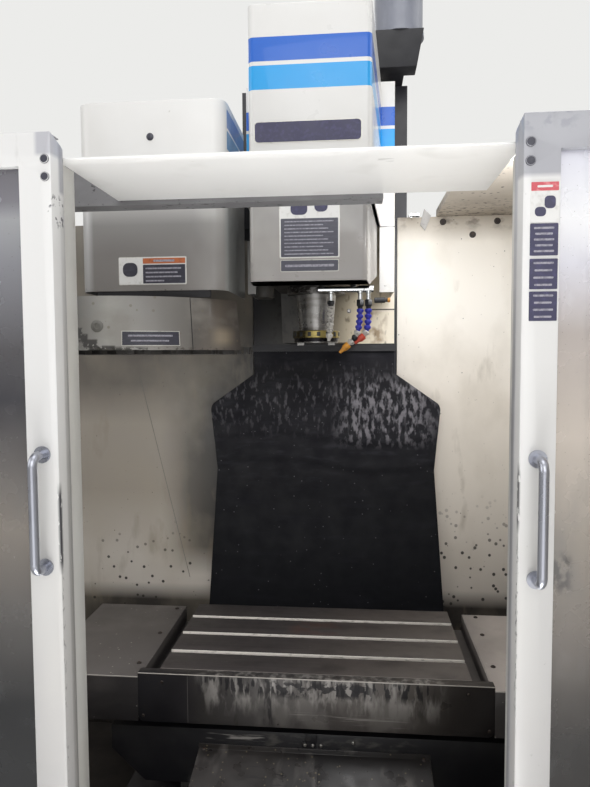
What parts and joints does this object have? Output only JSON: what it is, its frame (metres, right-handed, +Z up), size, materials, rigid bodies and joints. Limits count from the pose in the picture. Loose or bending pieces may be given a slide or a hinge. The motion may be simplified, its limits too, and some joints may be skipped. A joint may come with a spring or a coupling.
{
  "type": "vertical machining center",
  "caption": "Vertical machining center: open sliding doors, slotted cross table, rubber way cover, belt-driven spindle head and umbrella tool changer.",
  "frame": {"origin": "the floor point under the spindle axis, which is also the middle of the machine's outline in plan", "axes": "+Z up, +X to the machine's right as its operator sees it from the front, +Y to the rear"},
  "size_m": [2.03, 2.26, 2.806],
  "materials": {
    "cast_dark": "satin painted casting",
    "sheet_white": "worn gloss enamel",
    "sheet_cream": "stained enamel",
    "steel": "ground",
    "steel_guard": "dull stainless sheet",
    "table_iron": "ground cast iron",
    "bar_chrome": "polished",
    "rubber_black": "matt",
    "window_glass": "tinted",
    "motor_dark": "satin",
    "iron_grey": "satin",
    "hose_blue": "matt",
    "plastic_red": "gloss",
    "plastic_green": "gloss",
    "plastic_dark": "matt"
  },
  "bodies": {
    "frame": {"leveling_pads": "cast_dark", "base_casting": "cast_dark", "column": "cast_dark", "y_rails": "steel", "z_rails": "steel", "z_belt_housing": "motor_dark", "axis_motors": "motor_dark", "chip_pan": "sheet_white", "side_panels": "sheet_white", "rear_walls": "sheet_cream", "roof_panel": "sheet_cream", "front_panels": "sheet_white", "front_sill": "sheet_white", "header_tray": "sheet_white", "header_angle": "motor_dark", "rubber_apron": "rubber_black", "changer_bracket": "motor_dark", "changer_cover": "sheet_white", "electrical_cabinet": "sheet_white"},
    "y_screw": {"y_screw": "steel"},
    "z_screw": {"z_screw": "steel"},
    "saddle": {"saddle": "cast_dark", "y_blocks": "steel", "x_rails": "steel", "x_motor": "motor_dark", "saddle_front_cover": "steel_guard"},
    "x_screw": {"x_screw": "steel"},
    "table": {"table": "table_iron", "x_blocks": "steel", "table_front_guard": "steel_guard", "table_troughs": "steel_guard", "table_wings": "steel_guard"},
    "head": {"head_casting": "cast_dark", "z_blocks": "steel", "head_cover_upper": "sheet_white", "head_cover_lower": "sheet_white", "head_cover_rear": "sheet_white", "spindle_motor": "iron_grey", "drive_belt": "rubber_black", "spindle_cartridge": "steel", "apron_clamp": "steel_guard", "coolant_manifold": "bar_chrome", "coolant_hoses": "hose_blue"},
    "spindle": {"spindle": "steel"},
    "motor_pulley": {"motor_pulley": "iron_grey"},
    "changer": {"changer_carriage": "iron_grey", "changer_guard": "sheet_white"},
    "drum": {"changer_drum": "steel"},
    "left_door": {"left_door": "sheet_white", "left_window": "window_glass", "left_handle": "bar_chrome"},
    "right_door": {"right_door": "sheet_white", "right_window": "window_glass", "right_handle": "bar_chrome"},
    "pendant": {"pendant": "sheet_cream"},
    "estop_button": {"estop_button": "plastic_red"},
    "start_button": {"start_button": "plastic_green"},
    "jog_wheel": {"jog_wheel": "plastic_dark"},
    "cabinet_door": {"cabinet_door": "sheet_white"}
  },
  "joints": [
    {"name": "saddle_y", "type": "slide", "parent": "frame", "child": "saddle", "axis": [0, 1, 0], "range_m": [-0.203, 0.203]},
    {"name": "table_x", "type": "slide", "parent": "saddle", "child": "table", "axis": [1, 0, 0], "range_m": [-0.254, 0.254]},
    {"name": "head_z", "type": "slide", "parent": "frame", "child": "head", "axis": [0, 0, 1], "range_m": [-0.508, 0], "deforming": ["rubber_apron"]},
    {"name": "y_screw_turn", "type": "hinge", "parent": "frame", "child": "y_screw", "pos_m": [0, -0.56, 0.537], "axis": [0, 1, 0], "continuous": true},
    {"name": "x_screw_turn", "type": "hinge", "parent": "saddle", "child": "x_screw", "pos_m": [-0.48, 0, 0.723], "axis": [1, 0, 0], "continuous": true},
    {"name": "z_screw_turn", "type": "hinge", "parent": "frame", "child": "z_screw", "pos_m": [0, 0.447, 1.48], "axis": [0, 0, 1], "continuous": true},
    {"name": "spindle_spin", "type": "hinge", "parent": "head", "child": "spindle", "pos_m": [0, 0, 1.645], "axis": [0, 0, 1], "continuous": true},
    {"name": "motor_pulley_spin", "type": "hinge", "parent": "head", "child": "motor_pulley", "pos_m": [0, 0.25, 2.16], "axis": [0, 0, 1], "continuous": true},
    {"name": "changer_slide", "type": "slide", "parent": "frame", "child": "changer", "axis": [1, 0, 0], "range_m": [0, 0.2]},
    {"name": "drum_turn", "type": "hinge", "parent": "changer", "child": "drum", "pos_m": [-0.475, 0, 1.617], "axis": [0, 0, 1], "continuous": true},
    {"name": "left_door_slide", "type": "slide", "parent": "frame", "child": "left_door", "axis": [1, 0, 0], "range_m": [0, 0.312]},
    {"name": "right_door_slide", "type": "slide", "parent": "frame", "child": "right_door", "axis": [-1, 0, 0], "range_m": [0, 0.312]},
    {"name": "pendant_swivel", "type": "hinge", "parent": "frame", "child": "pendant", "pos_m": [0.96, -0.83, 1.74], "axis": [0, 0, 1], "range_deg": [0, 90]},
    {"name": "estop_push", "type": "slide", "parent": "pendant", "child": "estop_button", "axis": [0, 1, 0], "range_m": [0, 0.004]},
    {"name": "start_push", "type": "slide", "parent": "pendant", "child": "start_button", "axis": [0, 1, 0], "range_m": [0, 0.003], "stiffness_N_per_m": 300},
    {"name": "jog_turn", "type": "hinge", "parent": "pendant", "child": "jog_wheel", "pos_m": [0.6422, -1.1, 1.1704], "axis": [0, -1, 0], "continuous": true},
    {"name": "cabinet_door_hinge", "type": "hinge", "parent": "frame", "child": "cabinet_door", "pos_m": [-0.409, 1.115, 1.11], "axis": [0, 0, 1], "range_deg": [0, 110]}
  ],
  "couplings": [
    {"joint": "y_screw_turn", "follows": "saddle_y", "rad_per_m": -785.4},
    {"joint": "x_screw_turn", "follows": "table_x", "rad_per_m": -785.4},
    {"joint": "z_screw_turn", "follows": "head_z", "rad_per_m": -785.4},
    {"joint": "motor_pulley_spin", "follows": "spindle_spin", "ratio": 1}
  ]
}
